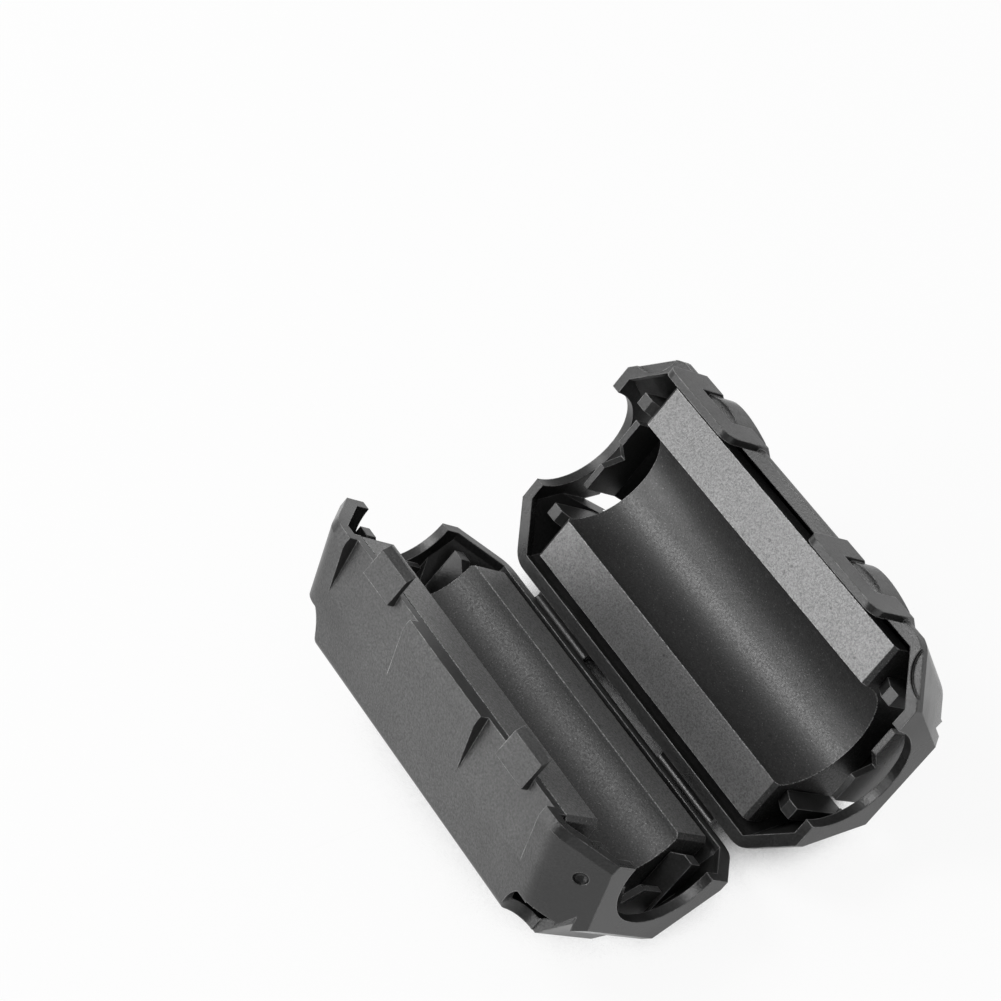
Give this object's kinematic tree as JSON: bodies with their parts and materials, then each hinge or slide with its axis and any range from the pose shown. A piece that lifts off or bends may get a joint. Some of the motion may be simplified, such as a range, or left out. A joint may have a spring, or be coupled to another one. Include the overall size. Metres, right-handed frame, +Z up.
{
  "type": "clip on ferrite bead",
  "caption": "Clip-on ferrite bead for a cable: hinged black housing with snap latches, standing open, and a half ferrite core with a cable channel in each half.",
  "frame": {"origin": "on the floor, under the hinge line, halfway along the bead", "axes": "+X along the cable; +Y from the hinge line towards the half with the latch loops; +Z up, away from the surface the open bead stands on"},
  "size_m": [0.035, 0.0344, 0.02],
  "materials": {
    "nylon": "black nylon, finely grained",
    "nylon_film": "black nylon, smooth thin film",
    "ferrite": "sintered dark grey ceramic, ground mating faces"
  },
  "bodies": {
    "loop_half": {"loop_shell": "nylon", "loop_core": "ferrite", "film_hinge": "nylon_film"},
    "catch_half": {"catch_shell": "nylon", "catch_core": "ferrite"}
  },
  "joints": [
    {"name": "hinge", "type": "hinge", "parent": "loop_half", "child": "catch_half", "pos_m": [0, 0, 0.00272], "axis": [-1, 0, 0], "range_deg": [-92, 88], "deforming": ["film_hinge"]}
  ]
}
